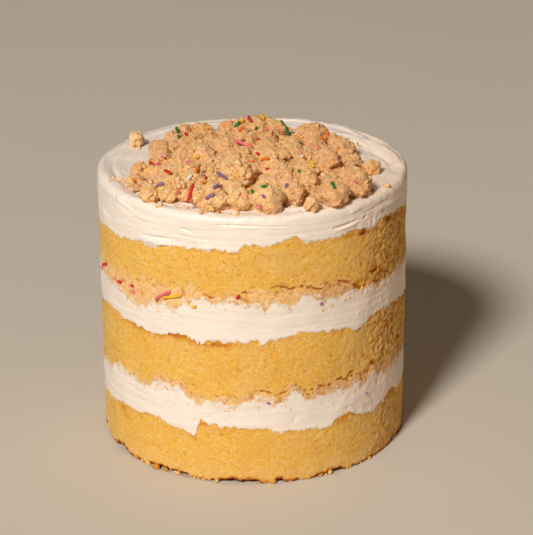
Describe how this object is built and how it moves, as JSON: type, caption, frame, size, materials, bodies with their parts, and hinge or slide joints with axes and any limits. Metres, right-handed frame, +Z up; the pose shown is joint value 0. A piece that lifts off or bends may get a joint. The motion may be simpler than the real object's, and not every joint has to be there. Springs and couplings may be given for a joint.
{
  "type": "birthday cake",
  "caption": "Tall round layer cake with bare sides, soft frosting and crumb layers between the sponges, and a heap of baked crumbs and sprinkles on top.",
  "frame": {"origin": "middle of the flat underside, where the cake stands", "axes": "+Z up along the cake's axis, -Y towards the front that the picture shows, +X to the viewer's right"},
  "size_m": [0.1524, 0.1522, 0.1533],
  "materials": {
    "sponge": "open yellow sponge crumb, matte",
    "frosting": "soft ivory frosting, satin",
    "crumbs": "grainy baked crumb, matte",
    "sprinkles": "coloured sugar strands, satin"
  },
  "bodies": {
    "root": {"cake_layer_bottom": "sponge", "frosting_lower": "frosting", "crumb_layer_lower": "crumbs", "cake_layer_middle": "sponge", "frosting_middle": "frosting", "crumb_layer_upper": "crumbs", "cake_layer_top": "sponge", "frosting_top": "frosting", "crumb_topping": "crumbs", "loose_crumb_back": "crumbs", "loose_crumb_right": "crumbs", "loose_crumb_front": "crumbs"}
  },
  "joints": []
}
